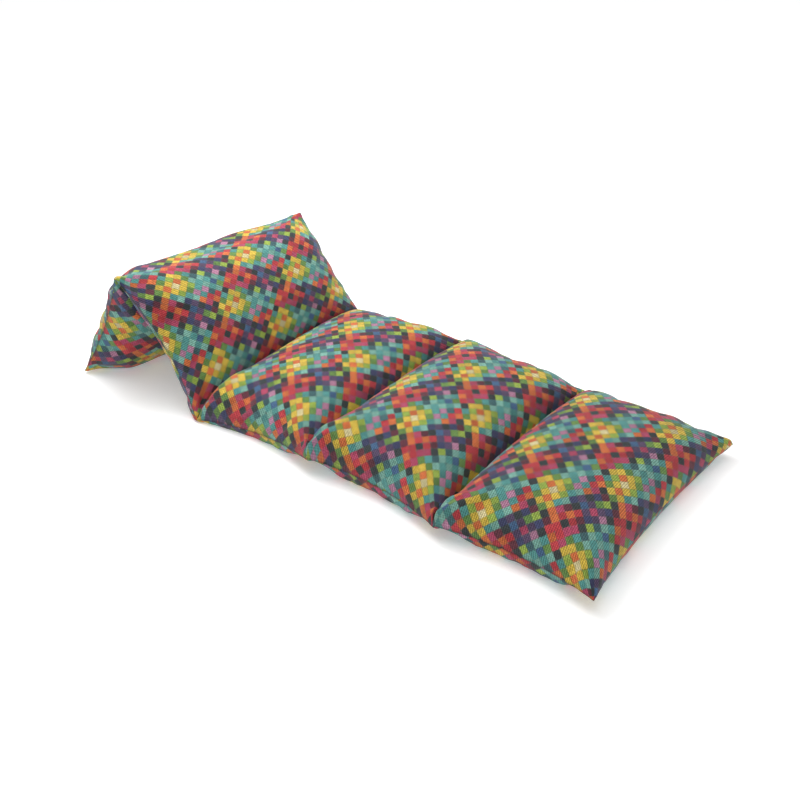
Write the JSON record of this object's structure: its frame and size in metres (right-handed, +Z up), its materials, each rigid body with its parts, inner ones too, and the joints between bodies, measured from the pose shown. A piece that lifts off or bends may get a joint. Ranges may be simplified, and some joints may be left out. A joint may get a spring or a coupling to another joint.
{
  "type": "floor lounger cover",
  "caption": "Long printed cover for a padded floor lounger, its filled pockets lying flat, with the head end folded up as a propped backrest.",
  "frame": {"origin": "middle of the bounding box, at floor level", "axes": "+Z up, +X along the lounger from the backrest towards the foot end, +Y across it"},
  "size_m": [1.4924, 0.6466, 0.3183],
  "materials": {
    "printed_cloth": "matt woven cloth, printed all over in many colours"
  },
  "bodies": {
    "root": {"lounger_cover": "printed_cloth"}
  },
  "joints": []
}
